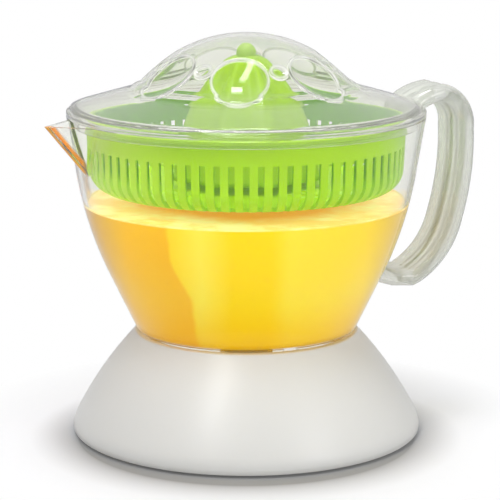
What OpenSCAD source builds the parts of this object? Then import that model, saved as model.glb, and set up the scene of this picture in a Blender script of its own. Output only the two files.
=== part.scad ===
// Motorised citrus press: a white base with a geared motor, a clear jug with a spout and a ribbed
// handle, a slotted strainer, a two-part reamer and a clear domed lid.
// Origin on the reamer's axis at the plane the feet stand on. Handle on +X, spout on -X.

/* [Base] */
// Radius of the housing at its lower edge
base_r = 80; // [76:0.5:86]
// Height of the upright lip at the lower edge
base_lip_h = 3.6; // [3:0.2:5]
// Gap between the surface that the feet stand on and the housing's edge
ground_gap = 1.2; // [1:0.1:1.8]
// Outer radius of the ledge that carries the jug
ledge_r = 51.4; // [50.6:0.1:52.6]
// Height of the ledge
ledge_z = 47.2; // [46.6:0.1:48.5]
// Depth of the round seat inside the ledge
seat_depth = 6.2; // [5.6:0.1:6.8]
// Bulge radius of the housing's side
base_side_r = 165; // [140:5:240]
// Wall thickness of the housing
base_wall = 2.4; // [2:0.1:3]
// Thickness of the base plate
plate_t = 2.4; // [2:0.1:3]
// Radius of a rubber foot
foot_r = 7; // [5:0.5:8]
// Distance of the feet's centres from the housing's edge
foot_inset = 16; // [14:0.5:20]
// Radius of the mains lead that the gland would hold
lead_r = 3.3; // [3:0.1:3.6]

/* [Drive] */
// Radius of the drive shaft
shaft_r = 4; // [3.6:0.1:4.4]
// Travel of the shaft when the reamer is pressed
press_travel = 3; // [2:0.2:3.4]
// Height of the underside of the gear plate
gear_plate_z = 22; // [21.6:0.1:22.6]
// Thickness of the gear plate
gear_plate_t = 2.4; // [2:0.1:2.6]
// Tooth module of the first gear stage
mod_1 = 0.6; // [0.58:0.01:0.62]
// Tooth module of the second gear stage
mod_2 = 0.8; // [0.78:0.01:0.82]
// Teeth of the rotor pinion
rotor_teeth = 10; // [10:1:11]
// Teeth of the large wheel of the intermediate gear
wheel_teeth = 60; // [58:1:62]
// Teeth of the small wheel of the intermediate gear
small_teeth = 12; // [12:1:13]
// Teeth of the output gear
output_teeth = 60; // [58:1:61]
// Bearing of the intermediate gear from the drive axis, in degrees
idler_turn = 90; // [88:0.5:92]
// Bearing of the rotor from the intermediate gear, in degrees
rotor_turn = -5; // [-8:1:-2]
// Thickness of the laminated stator
core_t = 14; // [12:0.5:14]
// Radius of the magnet rotor
rotor_r = 9; // [8:0.5:9.5]

/* [Jug] */
// Radius of the jug at its lower edge
jug_bottom_r = 50.6; // [50:0.1:51.4]
// Radius where the straight lower flare ends
flare_r = 63.9; // [62.5:0.1:65]
// Height where the straight lower flare ends
flare_z = 76.8; // [74:0.2:79]
// Overhang of the rim beyond the shoulder
rim_flare = 3.6; // [3:0.1:4.4]
// Height of the shoulder
shoulder_z = 123.6; // [121:0.2:126]
// Radius of the rim
rim_r = 81; // [80.6:0.1:82]
// Height of the rim
rim_z = 146; // [145.4:0.1:147]
// Wall thickness of the jug
jug_wall = 2; // [1.6:0.1:2.4]
// Overhang of the spout's tip beyond the rim
spout_overhang = 15.4; // [11:0.2:19]
// Half-width of the spout at the rim
spout_half_w = 16; // [13:0.5:19]
// Height where the spout's keel meets the wall
spout_root_z = 123; // [119:0.5:127]
// Outer radius of the chimney round the shaft
chimney_r = 9; // [8.6:0.1:9.4]
// Height of the top of the chimney
chimney_top_z = 117; // [116:0.2:117.6]

/* [Handle] */
// Width of the handle band
handle_w = 27; // [24:0.5:30]
// Thickness of the handle band over its ribs
handle_t = 8; // [7:0.2:9]
// Depth of the flutes between the ribs
flute_depth = 1.1; // [0.6:0.1:1.6]
// Number of ribs across the band
rib_count = 5; // [4:1:6]
// Distance from the rim to the middle of the grip
grip_reach = 29; // [27:0.5:32]
// Rise of the handle's crest above the rim
crest_rise = 5.6; // [4:0.2:7]

/* [Strainer] */
// Step from the jug's rim in to the strainer's rim
strainer_inset = 8.8; // [8:0.1:10]
// Height of the strainer's rim
strainer_top_z = 144.6; // [143.6:0.1:145]
// Height of the underside of the strainer
strainer_bottom_z = 112.6; // [112.2:0.1:113]
// Radius of the rounded lower corner
strainer_corner_r = 10; // [8:0.5:12]
// Wall thickness of the strainer
strainer_wall = 1.7; // [1.5:0.1:2]
// Number of slots
slot_count = 72; // [60:4:76]
// Width of a slot
slot_w = 2.6; // [2:0.1:3]
// Height of the top of the slots
slot_top_z = 133.8; // [131:0.2:136]

/* [Reamer] */
// Radius over the ribs at the large cone's lower edge
cone_r = 35; // [33:0.5:36]
// Height of the large cone's lower edge
cone_bottom_z = 118; // [117.8:0.1:119]
// Height of the large cone's crown
cone_top_z = 172.5; // [171.5:0.5:173.5]
// Depth of the hollows between the ribs
rib_depth = 3.4; // [2.6:0.2:4]
// Number of ribs
cone_ribs = 8; // [6:1:9]
// Bearing of the first rib from halfway between two ribs, in degrees
cone_turn = 20; // [0:1:44]
// Radius of the small cone's tip
nub_r = 4.5; // [4.2:0.1:4.8]
// Height of the small cone's tip over the large cone's crown
nub_rise = 5.5; // [4.5:0.1:5.8]
// Radius of the small cone at its lower edge
small_cone_r = 21; // [20:0.5:22]
// Radius of the large cone's bowed side
cone_bow_r = 80; // [76:1:90]
// Radius of the small cone's bowed side
small_bow_r = 110; // [105:1:130]

/* [Lid] */
// Height of the shoulder of the lid
lid_edge_z = 149.7; // [149.2:0.1:150.5]
// Radius of the foot of the dome
dome_foot_r = 51; // [50:0.2:52]
// Drop of the fillet at the dome's foot
dome_foot_drop = 2.6; // [2.2:0.1:3.2]
// Radius of the dome's sphere
dome_sphere_r = 63.1; // [62.6:0.1:64]
// Room between the small cone's tip and the top of the dome
dome_room = 4.7; // [4.2:0.1:6]
// Wall thickness of the lid
lid_wall = 1.8; // [1.5:0.1:2]
// Number of finger hollows in the dome
hollow_count = 7; // [5:1:7]
// Radius of a finger hollow
hollow_r = 12.4; // [11:0.2:13]
// Depth of a finger hollow
hollow_depth = 3; // [2:0.2:3.4]
// Bearing of the first finger hollow, in degrees
hollow_turn = 35.3; // [0:0.1:51]
// Radius of a pit between two finger hollows
pit_r = 3.6; // [3:0.2:4]
// Depth of a pit
pit_depth = 0.9; // [0.6:0.1:1]

/* [Hidden] */
$fn = 96;
gap = 0.3;          // between pieces that move apart
running = 0.06;     // radial play of a turning shaft
eps = 0.01;         // overshoot of a cut
arc_steps = 10;     // straight steps in an arc of an outline
ground = ground_gap;
foot_ring_r = base_r - foot_inset;
seat_z = ledge_z - seat_depth;
seat_r = ledge_r - 4.6;
ceiling_z = seat_z - base_wall;
plate_top = ground + plate_t;
gear_floor = gear_plate_z + gear_plate_t;
lip_top = ground + base_lip_h;

// Gear train: pinion to large wheel, small wheel to output gear
pitch = [for (t = [rotor_teeth, wheel_teeth]) mod_1 * t / 2];
pitch_2 = [for (t = [small_teeth, output_teeth]) mod_2 * t / 2];
idler_reach = pitch_2[0] + pitch_2[1] + 0.05;
idler_at = idler_reach * [cos(idler_turn), sin(idler_turn)];
rotor_at = idler_at + (pitch[0] + pitch[1] + 0.05) * [cos(rotor_turn), sin(rotor_turn)];
stage_1_z = gear_floor + 1.2;
stage_1_h = 3.4;
stage_2_z = stage_1_z + stage_1_h + 0.8;
stage_2_h = ceiling_z - 1.2 - stage_2_z;
hub_r = shaft_r + 2.2;

// Shaft, its flange and the switch below it
flange_r = shaft_r + 1.6;
flange_top = gear_plate_z - 0.6;
flange_bottom = flange_top - 2.4;
switch_top = 13;
spout_turn = 180;
head_bottom = chimney_top_z + 2.2;
head_top = head_bottom + 8;
head_r = shaft_r + 1.5;

// Jug
jug_z = ledge_z + gap;
shoulder_r = rim_r - rim_flare;
spout_reach = rim_r + spout_overhang;
grip_x = rim_r + grip_reach;
strainer_r = rim_r - strainer_inset;
foot_ring_out = seat_r - 0.4;
foot_ring_t = 2.4;
jug_floor_t = 2.2;
collar_r = shaft_r + 5.6;
collar_top = seat_z + 11;
chimney_wall = 1.9;
seal_r = shaft_r + 4;
key_angles = [30, 150, 270];

// Strainer and lid
collar_clear = 0.3;
tube_in = chimney_r + collar_clear;
tube_out = tube_in + 1.9;
ring_out = rim_r - jug_wall - 1.1;
nub_top_z = cone_top_z + nub_rise;
dome_top_z = nub_top_z + dome_room;
dome_centre_z = dome_top_z - dome_sphere_r;

// Fixing posts
gear_post_ring = 45;
gear_post_angles = [9, 171, 270];
base_post_ring = 58;
base_post_angles = [75, 165, 250, 345];
foot_angles = [45, 135, 225, 315];
post_r = 3.4;
screw_r = 1.4;
screw_head_r = 2.8;

// ---------- helpers ----------

// Points on the arc of radius r from a to b, bulging to the left of the way from a to b
function arc(a, b, r, n = arc_steps) =
    let (d = norm(b - a), u = (b - a) / d, left = [-u[1], u[0]],
         c = (a + b) / 2 - left * sqrt(max(0, r * r - d * d / 4)),
         s = atan2(a[1] - c[1], a[0] - c[0]), e = atan2(b[1] - c[1], b[0] - c[0]),
         turn = e - s - 360 * round((e - s) / 360))
    [for (i = [0:n]) c + r * [cos(s + turn * i / n), sin(s + turn * i / n)]];

function reversed(p) = [for (i = [len(p) - 1:-1:0]) p[i]];

function after_first(p) = [for (i = [1:len(p) - 1]) p[i]];

// Unit normal on the left of a line of points, at point i
function left_of(p, i) =
    let (a = p[max(0, i - 1)], b = p[min(len(p) - 1, i + 1)], d = (b - a) / norm(b - a))
    [-d[1], d[0]];

// The line of points moved sideways by t, to its left
function beside(p, t) = [for (i = [0:len(p) - 1]) p[i] + t * left_of(p, i)];

module at_angles(angles, ring) {
    for (a = angles) rotate([0, 0, a]) translate([ring, 0, 0]) children();
}

module tube(r_out, r_in, z0, z1) {
    translate([0, 0, z0]) difference() {
        cylinder(r = r_out, h = z1 - z0);
        translate([0, 0, -1]) cylinder(r = r_in, h = z1 - z0 + 2);
    }
}

module disc(r, z0, z1) {
    translate([0, 0, z0]) cylinder(r = r, h = z1 - z0);
}

// Spur gear outline with straight-flanked teeth
module gear_outline(teeth, m) {
    r = m * teeth / 2;
    tip = r + 0.9 * m;
    root = r - 1.15 * m;
    step = 360 / teeth;
    polygon([for (i = [0:teeth - 1]) each [
        [root * cos((i - 0.36) * step), root * sin((i - 0.36) * step)],
        [tip * cos((i - 0.13) * step), tip * sin((i - 0.13) * step)],
        [tip * cos((i + 0.13) * step), tip * sin((i + 0.13) * step)],
        [root * cos((i + 0.36) * step), root * sin((i + 0.36) * step)]]]);
}

// Cross-head screw pointing up, the seat of its head at z
module screw(z, length) {
    translate([0, 0, z]) cylinder(r = screw_r, h = length);
    difference() {
        translate([0, 0, z - 1.8]) cylinder(r = screw_head_r, h = 1.8);
        for (a = [0, 90]) rotate([0, 0, a]) translate([-1.6, -0.35, z - 2]) cube([3.2, 0.7, 1.1]);
    }
}

// ---------- base ----------

base_side_up = concat([[base_r, ground]],
    reversed(arc([ledge_r + 0.6, ledge_z - 1.4], [base_r, lip_top], base_side_r)),
    [[ledge_r + 0.1, ledge_z - 0.4], [ledge_r - 0.9, ledge_z]]);

module base_solid() {
    rotate_extrude() polygon(concat([[0, ground]], base_side_up, [[0, ledge_z]]));
}

module base_hollow() {
    inner = [for (p = beside(base_side_up, base_wall)) if (p[1] < ceiling_z) p];
    lip_in = base_r - base_wall;
    rotate_extrude() polygon(concat([[0, ground - 1], [lip_in, ground - 1], [lip_in, plate_top + gap]],
        [for (p = inner) if (p[1] > lip_top) p],
        [[inner[len(inner) - 1][0] - 2, ceiling_z], [0, ceiling_z]]));
}

module base_housing() {
    color("whitesmoke") difference() {
        union() {
            difference() {
                base_solid();
                base_hollow();
                translate([0, 0, seat_z]) cylinder(r = seat_r, h = seat_depth + 1);
            }
            disc(collar_r, ceiling_z, collar_top);
            intersection() {
                base_solid();
                union() {
                    at_angles(gear_post_angles, gear_post_ring)
                        disc(post_r, gear_floor, ceiling_z + 1);
                    at_angles(base_post_angles, base_post_ring) disc(post_r + 0.6, plate_top, ledge_z);
                }
            }
            seat_keys(0);
        }
        disc(seal_r, ceiling_z - 1, collar_top + 1);
        at_angles(gear_post_angles, gear_post_ring)
            disc(screw_r, gear_floor - 1, gear_floor + 9);
        at_angles(base_post_angles, base_post_ring) disc(screw_r, ground, plate_top + 11);
        rotate([0, 0, 90]) translate([gland_back, 0, gland_z]) rotate([0, 90, 0])
            cylinder(r = gland_r, h = 2 * gland_len);
    }
}

// Ribs in the seat that hold the jug against the reamer's torque
module seat_keys(play) {
    for (a = key_angles) rotate([0, 0, a]) translate([seat_r - 4, -2.5 - play, seat_z - eps])
        cube([4 + 1, 5 + 2 * play, 3.4 + play]);
}

module base_plate() {
    color("gainsboro") difference() {
        disc(base_r - base_wall - 0.3, ground, plate_top);
        at_angles(foot_angles, foot_ring_r) disc(foot_r, ground - 1, ground + plate_t / 2);
        at_angles(base_post_angles, base_post_ring) {
            disc(screw_r + 0.2, ground - 1, plate_top + 1);
            disc(screw_head_r + 0.3, ground - 1, ground + 1.9 - 0.1);
        }
        for (i = [-3:3]) translate([i * 5 - 1, -52, ground - 1]) cube([2, 22, plate_t + 2]);
    }
}

module rubber_feet() {
    color("dimgray") at_angles(foot_angles, foot_ring_r) difference() {
        disc(foot_r, 0, ground + plate_t / 2);
        disc(foot_r - 3, -1, 0.5);
    }
}

module base_screws() {
    color("silver") at_angles(base_post_angles, base_post_ring) screw(ground + 1.8, plate_t + 8);
}

gland_r = lead_r + 2;
gland_z = plate_top + gland_r + 1.6;
gland_len = 13;
gland_back = base_r - gland_len + 0.5;

module cord_gland() {
    color("dimgray") rotate([0, 0, 90]) translate([0, 0, gland_z]) rotate([0, 90, 0]) difference() {
        union() {
            translate([0, 0, gland_back]) cylinder(r = gland_r - 0.05, h = gland_len);
            translate([0, 0, gland_back]) cylinder(r = gland_r + 1.4, h = 2);
        }
        translate([0, 0, gland_back - 1]) cylinder(r = lead_r, h = gland_len + 2);
    }
}

terminal_at = [-44, -14];

module terminal_block() {
    color("ivory") translate([terminal_at[0], terminal_at[1], plate_top]) difference() {
        translate([-5, -9, 0]) cube([10, 18, 9]);
        for (y = [-4.5, 4.5]) translate([0, y, 0]) {
            translate([0, 0, 4]) cylinder(r = 1.6, h = 6);
            translate([-6, 0, 3.5]) rotate([0, 90, 0]) cylinder(r = 1.3, h = 12);
        }
    }
}

// ---------- motor ----------

core_bottom = gear_plate_z - core_t;
core_arm = 8;
core_inside = 20;
core_reach = 56;
core_back_x = rotor_at[0] - core_reach;
core_half_w = core_inside / 2 + core_arm;
core_front_x = rotor_at[0] + rotor_r + 5;
motor_screw_x = [core_back_x + 4, core_front_x - 3.4];
motor_screw_y = [-core_half_w + 3.6, core_half_w - 3.6];
bobbin_t = 1;
bobbin_len = core_inside - 0.4;
coil_t = 2.6;
bearing_r = 2.6;
rotor_pin_r = 1.2;

module at_motor() {
    translate([0, rotor_at[1], 0]) children();
}

module core_outline() {
    difference() {
        translate([core_back_x, -core_half_w]) square([core_front_x - core_back_x, 2 * core_half_w]);
        translate([core_back_x + core_arm, -core_inside / 2])
            square([rotor_at[0] - 12 - core_back_x - core_arm, core_inside]);
        translate([rotor_at[0], 0]) circle(r = rotor_r + 0.6);
        translate([rotor_at[0] - 13, -2]) square([13, 4]);
        translate([rotor_at[0] + rotor_r - 1, -1.5]) square([10, 3]);
        for (x = motor_screw_x, y = motor_screw_y) translate([x, y]) circle(r = screw_r + 0.1);
    }
}

module stator_core() {
    color("slategray") at_motor() translate([0, 0, core_bottom]) linear_extrude(core_t) core_outline();
}

// Box round the back limb of the core, thicker than the limb by t all round
module round_limb(t, length) {
    translate([core_back_x - t, -length / 2, core_bottom - t])
        cube([core_arm + 2 * t, length, core_t + 2 * t]);
}

module coil_bobbin() {
    color("ivory") at_motor() difference() {
        union() {
            round_limb(bobbin_t, bobbin_len);
            for (s = [-1, 1]) translate([0, s * (bobbin_len - bobbin_t) / 2, 0])
                round_limb(bobbin_t + coil_t + 0.4, bobbin_t);
        }
        round_limb(0, bobbin_len + 2);
    }
}

module coil_winding() {
    color("peru") at_motor() difference() {
        round_limb(bobbin_t + coil_t, bobbin_len - 2 * bobbin_t);
        round_limb(bobbin_t, bobbin_len);
    }
}

rotor_gap_z = 1.2;

module rotor_magnet() {
    color("dimgray") translate([rotor_at[0], rotor_at[1], 0])
        tube(rotor_r, rotor_pin_r, core_bottom + rotor_gap_z, gear_plate_z - rotor_gap_z);
}

module rotor_shaft() {
    color("silver") translate([rotor_at[0], rotor_at[1], 0])
        disc(rotor_pin_r, bracket_z - 0.6, stage_1_z + stage_1_h + 0.4);
}

module rotor_pinion() {
    color("goldenrod") translate([rotor_at[0], rotor_at[1], 0]) difference() {
        translate([0, 0, stage_1_z]) rotate([0, 0, pinion_phase]) linear_extrude(stage_1_h)
            gear_outline(rotor_teeth, mod_1);
        disc(rotor_pin_r, stage_1_z - 1, stage_1_z + stage_1_h + 1);
    }
}

bracket_t = 2;
bracket_z = core_bottom - bracket_t;

// Strap under the core with the rotor's lower bearing
module rotor_bracket() {
    color("silver") at_motor() difference() {
        union() {
            translate([rotor_at[0] - 6, -core_half_w, bracket_z])
                cube([core_front_x - rotor_at[0] + 6, 2 * core_half_w, bracket_t]);
            translate([rotor_at[0], 0, 0]) disc(bearing_r + 1, bracket_z - 1, core_bottom);
        }
        translate([rotor_at[0], 0, 0]) disc(rotor_pin_r + running, bracket_z - 2, core_bottom + 1);
        for (y = motor_screw_y) translate([motor_screw_x[1], y, 0])
            disc(screw_r + 0.1, bracket_z - 1, core_bottom + 1);
    }
}

module motor_screws() {
    color("silver") at_motor() for (y = motor_screw_y) {
        translate([motor_screw_x[0], y, 0]) screw(core_bottom, core_t + gear_plate_t);
        translate([motor_screw_x[1], y, 0]) screw(bracket_z, bracket_t + core_t + gear_plate_t);
    }
}

// ---------- gear train ----------

module gear_plate() {
    color("lightgray") difference() {
        union() {
            disc(gear_post_ring + post_r, gear_plate_z, gear_floor);
            at_motor() translate([core_back_x - 0.5, -core_half_w, gear_plate_z])
                cube([core_front_x - core_back_x + 1, 2 * core_half_w, gear_plate_t]);
            translate([rotor_at[0], rotor_at[1], 0]) disc(bearing_r + 1, gear_floor - 1, gear_floor + 0.6);
        }
        disc(hub_r + 1.8, gear_plate_z - 1, gear_floor + 1);
        at_angles(gear_post_angles, gear_post_ring) disc(screw_r + 0.1, gear_plate_z - 1, gear_floor + 1);
        translate([rotor_at[0], rotor_at[1], 0])
            disc(rotor_pin_r + running, gear_plate_z - 1, gear_floor + 1);
        translate([idler_at[0], idler_at[1], 0]) disc(gear_pin_r, gear_plate_z - 1, gear_floor + 1);
        at_motor() {
            for (x = motor_screw_x, y = motor_screw_y) translate([x, y, 0])
                disc(screw_r, gear_plate_z - 1, gear_floor + 1);
            round_limb(bobbin_t + coil_t + 0.9, bobbin_len + 1);
        }
    }
}

module gear_plate_screws() {
    color("silver") at_angles(gear_post_angles, gear_post_ring) screw(gear_plate_z, gear_plate_t + 7);
}

module lower_bush() {
    color("darkgoldenrod") tube(hub_r + 1.8, hub_r + running, gear_plate_z, gear_floor);
}

module upper_bush() {
    color("darkgoldenrod") tube(seal_r, shaft_r + 1 + running, ceiling_z, ceiling_z + 4);
}

gear_pin_r = 1.5;

module gear_pin() {
    color("silver") translate([idler_at[0], idler_at[1], 0])
        disc(gear_pin_r, gear_plate_z, ceiling_z - 0.4);
}

// Turns that bring a tooth of each follower into a space of its driver at rest
wheel_phase = 0;
pinion_phase = 180 + rotor_turn + 180 / rotor_teeth
    - (wheel_phase - rotor_turn) * wheel_teeth / rotor_teeth;
small_phase = 180 + idler_turn + 180 / small_teeth + idler_turn * output_teeth / small_teeth;

module intermediate_gear() {
    color("ivory") translate([idler_at[0], idler_at[1], 0]) difference() {
        union() {
            translate([0, 0, stage_1_z]) rotate([0, 0, wheel_phase]) linear_extrude(stage_1_h)
                gear_outline(wheel_teeth, mod_1);
            disc(gear_pin_r + 1.6, gear_floor + 0.3, stage_2_z + 1);
            translate([0, 0, stage_2_z - 0.8]) rotate([0, 0, small_phase])
                linear_extrude(stage_2_h + 0.8) gear_outline(small_teeth, mod_2);
        }
        disc(gear_pin_r + running, gear_floor - 1, ceiling_z);
    }
}

module shaft_hex(play, z0, z1) {
    translate([0, 0, z0]) cylinder(r = shaft_r + play, h = z1 - z0, $fn = 6);
}

module output_gear() {
    color("ivory") difference() {
        union() {
            translate([0, 0, stage_2_z]) linear_extrude(stage_2_h) gear_outline(output_teeth, mod_2);
            disc(hub_r, gear_plate_z - gap, stage_2_z + stage_2_h);
            disc(hub_r + 2.4, gear_floor + gap, stage_2_z + 1);
            disc(shaft_r + 1, stage_2_z, ceiling_z + 3.8);
        }
        shaft_hex(0.1, gear_plate_z - 1, ceiling_z + 5);
    }
}

// ---------- shaft, seal and switch ----------

module drive_shaft() {
    color("silver") {
        disc(flange_r, flange_bottom, flange_top);
        shaft_hex(0, flange_top - eps, ceiling_z + 4.2 + press_travel);
        disc(shaft_r - 0.5, ceiling_z + 4.2, head_bottom + eps);
        translate([0, 0, head_bottom]) linear_extrude(head_top - head_bottom) head_outline(0);
    }
}

// Six-lobed driving head
module head_outline(play) {
    circle(r = head_r - 1.4 + play);
    for (a = [0:60:300]) rotate([0, 0, a]) translate([0, -0.9 - play])
        square([head_r + play, 1.8 + 2 * play]);
}

module shaft_seal() {
    color("black") tube(seal_r, shaft_r - 0.5 + running, collar_top - 3, collar_top);
}

module start_switch() {
    color("dimgray") difference() {
        translate([-7, -7, plate_top]) cube([14, 13.4, switch_top - plate_top]);
        disc(plunger_r + 0.15, switch_top - 1.5 - press_travel, switch_top + 1);
    }
}

plunger_r = 2;

module switch_plunger() {
    color("red") disc(plunger_r, switch_top - 1.2, flange_bottom - gap);
}

spring_r = 3.5;
spring_wire = 0.45;
spring_turns = 4;
spring_steps = 20;
spring_sides = 8;

// Helical compression spring between the switch and the shaft's flange
module return_spring() {
    z0 = switch_top + spring_wire + 0.1;
    rise = flange_bottom - gap - spring_wire - z0;
    rings = spring_turns * spring_steps;
    points = [for (i = [0:rings], j = [0:spring_sides - 1])
        let (a = 360 * i / spring_steps, b = 360 * j / spring_sides)
        [(spring_r + spring_wire * cos(b)) * cos(a), (spring_r + spring_wire * cos(b)) * sin(a),
         z0 + rise * i / rings + spring_wire * sin(b)]];
    sides = [for (i = [0:rings - 1], j = [0:spring_sides - 1])
        let (k = (j + 1) % spring_sides)
        [i * spring_sides + j, (i + 1) * spring_sides + j, (i + 1) * spring_sides + k,
         i * spring_sides + k]];
    color("silver") polyhedron(points, concat([[for (j = [0:spring_sides - 1]) j]], sides,
        [[for (j = [spring_sides - 1:-1:0]) rings * spring_sides + j]]), convexity = 10);
}

// ---------- jug ----------

flare_end = [flare_r, flare_z];
shoulder = [shoulder_r, shoulder_z];
flare_slope = atan((flare_r - jug_bottom_r) / (flare_z - jug_z - 1.4));
upper_slope = atan((rim_r - shoulder_r) / (rim_z - shoulder_z));
shoulder_arc_r = norm(shoulder - flare_end) / 2 / sin((flare_slope - upper_slope) / 2);

jug_side = concat(
    [[jug_bottom_r - 1.2, jug_z], [jug_bottom_r - 0.3, jug_z + 0.4], [jug_bottom_r, jug_z + 1.4]],
    reversed(arc(shoulder, flare_end, shoulder_arc_r, 12)),
    [[rim_r, rim_z]]);

module jug_outer() {
    rotate_extrude() polygon(concat([[0, jug_z]], jug_side, [[0, rim_z]]));
}

// Inner radius of the straight lower flare at height z
function flare_inside(z) = jug_bottom_r - jug_wall / cos(flare_slope)
    + (z - jug_z - 1.4) * tan(flare_slope);

module jug_inner() {
    floor_z = jug_z + jug_floor_t;
    rotate_extrude() polygon(concat(
        [[0, floor_z], [flare_inside(floor_z) - 2, floor_z], [flare_inside(floor_z + 2), floor_z + 2]],
        [for (p = beside(jug_side, jug_wall)) if (p[1] > floor_z + 2) p],
        [[rim_r - jug_wall + 0.2, rim_z + 1], [0, rim_z + 1]]));
}

// Spout: a V-shaped trough along its keel, cut level with the rim
keel_top = [spout_reach, rim_z];
keel_root = [shoulder_r, spout_root_z];
keel_len = norm(keel_top - keel_root);
keel_dir = (keel_top - keel_root) / keel_len;
spout_root_x = sqrt(rim_r * rim_r - spout_half_w * spout_half_w);
spout_angle = atan(spout_half_w / ((spout_reach - spout_root_x) * keel_dir[1]));

module spout_trough(wall) {
    back = 16;
    rise = 2 * spout_half_w;
    rotate([0, 0, spout_turn]) intersection() {
        translate([keel_root[0], 0, keel_root[1]]) rotate([0, acos(keel_dir[1]), 0])
            translate([-wall / sin(spout_angle), 0, -back]) linear_extrude(keel_len + 2 * back)
                polygon([[0, 0], [-rise, rise * tan(spout_angle)], [-rise, -rise * tan(spout_angle)]]);
        translate([shoulder_r - back, -rise, 0]) cube([2 * back + 8, 2 * rise, rim_z + wall]);
    }
}

chimney_line = [[chimney_r + 3.4, jug_z], [chimney_r + 3, jug_z + 9], [chimney_r, jug_z + 24],
    [chimney_r, chimney_top_z]];

module chimney_outer() {
    rotate_extrude() polygon(concat([[0, jug_z]], chimney_line, [[0, chimney_top_z]]));
}

module chimney_inner() {
    rotate_extrude() polygon(concat([[0, jug_z - 1]],
        [[chimney_r + 3.4 - chimney_wall, jug_z - 1]],
        [for (p = chimney_line) [p[0] - chimney_wall, p[1] + (p[1] > chimney_top_z - 1 ? 1 : 0)]],
        [[0, chimney_top_z + 1]]));
}

module chimney_keys(play) {
    for (a = key_angles) rotate([0, 0, a]) translate([chimney_r - 1, -1 - play, strainer_bottom_z - 14])
        cube([2 + play, 2 + 2 * play, 12 + play]);
}

module jug() {
    color("lightcyan", 0.5) difference() {
        union() {
            difference() {
                union() {
                    jug_outer();
                    spout_trough(0);
                }
                jug_inner();
                spout_trough(jug_wall);
            }
            chimney_outer();
            chimney_keys(0);
            difference() {
                tube(foot_ring_out, foot_ring_out - foot_ring_t, seat_z + gap, jug_z + 1);
                seat_keys(0.4);
            }
        }
        chimney_inner();
    }
}

// Centre line of the handle band: rim root, crest, grip, lower bend and wall root
root_bow_r = 30;
crest_bow_r = 16.5;
grip_bow_r = 120;
heel_bow_r = 40;
handle_root = [rim_r - 2, rim_z - 2.4];
crest = [grip_x - 13, rim_z + crest_rise];
grip_top = [grip_x - 0.3, rim_z - 12];
grip_low = [grip_x - 5.4, rim_z - 54];
heel = [grip_x - 28, jug_z + 17.1];
handle_line = concat(arc(handle_root, crest, root_bow_r, 5),
    after_first(arc(crest, grip_top, crest_bow_r, 8)),
    after_first(arc(grip_top, grip_low, grip_bow_r, 6)),
    after_first(arc(grip_low, heel, heel_bow_r, 8)),
    [heel + [-10, 1], [flare_r - 5.9, heel[1] + 5.4]]);

module handle_slab(t) {
    polygon(concat(beside(handle_line, t / 2), reversed(beside(handle_line, -t / 2))));
}

module jug_handle() {
    rib = handle_w / (2 * rib_count - 1);
    color("lightcyan", 0.5) difference() {
        rotate([90, 0, 0]) {
            translate([0, 0, -handle_w / 2]) linear_extrude(handle_w)
                handle_slab(handle_t - 2 * flute_depth);
            for (i = [0:rib_count - 1]) translate([0, 0, -handle_w / 2 + 2 * i * rib])
                linear_extrude(rib) handle_slab(handle_t);
        }
        jug_outer();
        disc(rim_r + 0.6, rim_z - eps, rim_z + 20);
    }
}

// ---------- strainer ----------

strainer_corner_centre = [strainer_r - 1 - strainer_corner_r, strainer_bottom_z + strainer_corner_r];
strainer_outer_line = concat([[0, strainer_bottom_z]],
    [for (i = [0:8]) strainer_corner_centre
        + strainer_corner_r * [sin(90 * i / 8), -cos(90 * i / 8)]],
    [[strainer_r, strainer_top_z]]);
strainer_inner_line = [for (i = [0:8]) strainer_corner_centre
    + (strainer_corner_r - strainer_wall) * [sin(90 * i / 8), -cos(90 * i / 8)]];

module strainer() {
    color("yellowgreen") difference() {
        union() {
            difference() {
                rotate_extrude() polygon(concat(strainer_outer_line, [[0, strainer_top_z]]));
                rotate_extrude() polygon(concat(
                    [[0, strainer_bottom_z + strainer_wall]], strainer_inner_line,
                    [[strainer_r - strainer_wall, strainer_top_z + 1], [0, strainer_top_z + 1]]));
                strainer_slots();
            }
            disc(tube_out, strainer_bottom_z - 8, chimney_top_z + gap + 1.2);
            tube(strainer_r + 0.9, strainer_r - 0.9, strainer_top_z - 1.6, strainer_top_z);
        }
        disc(tube_in, strainer_bottom_z - 9, chimney_top_z + gap);
        disc(shaft_r + 2, strainer_bottom_z, chimney_top_z + 4);
        chimney_keys(0.3);
    }
}

module strainer_slots() {
    inner_end = strainer_r - 1 - strainer_corner_r;
    for (i = [0:slot_count - 1]) rotate([0, 0, (i + 0.5) * 360 / slot_count])
        translate([inner_end, -slot_w / 2, strainer_bottom_z - 1])
            cube([strainer_corner_r + 6, slot_w, slot_top_z - strainer_bottom_z + 1]);
}

// ---------- reamer ----------

cone_crown_r = nub_r + 1;
cone_knee = [cone_r * 0.35, cone_top_z - 4.1];
cone_side = concat(arc([cone_crown_r, cone_top_z], cone_knee, 14, 4),
    after_first(arc(cone_knee, [cone_r, cone_bottom_z], cone_bow_r, 10)));

// The cone's side drawn in by a share of the rib depth, less towards the crown
function cone_valley(depth) = [for (p = cone_side)
    let (share = depth * min(1, (p[0] - cone_crown_r) / 12)) p - share * [1, 0.2]];

module cone_shell_solid(depth) {
    side = cone_valley(depth);
    rotate_extrude() polygon(concat([[0, cone_top_z]], side, [[0, cone_bottom_z]]));
}

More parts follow.
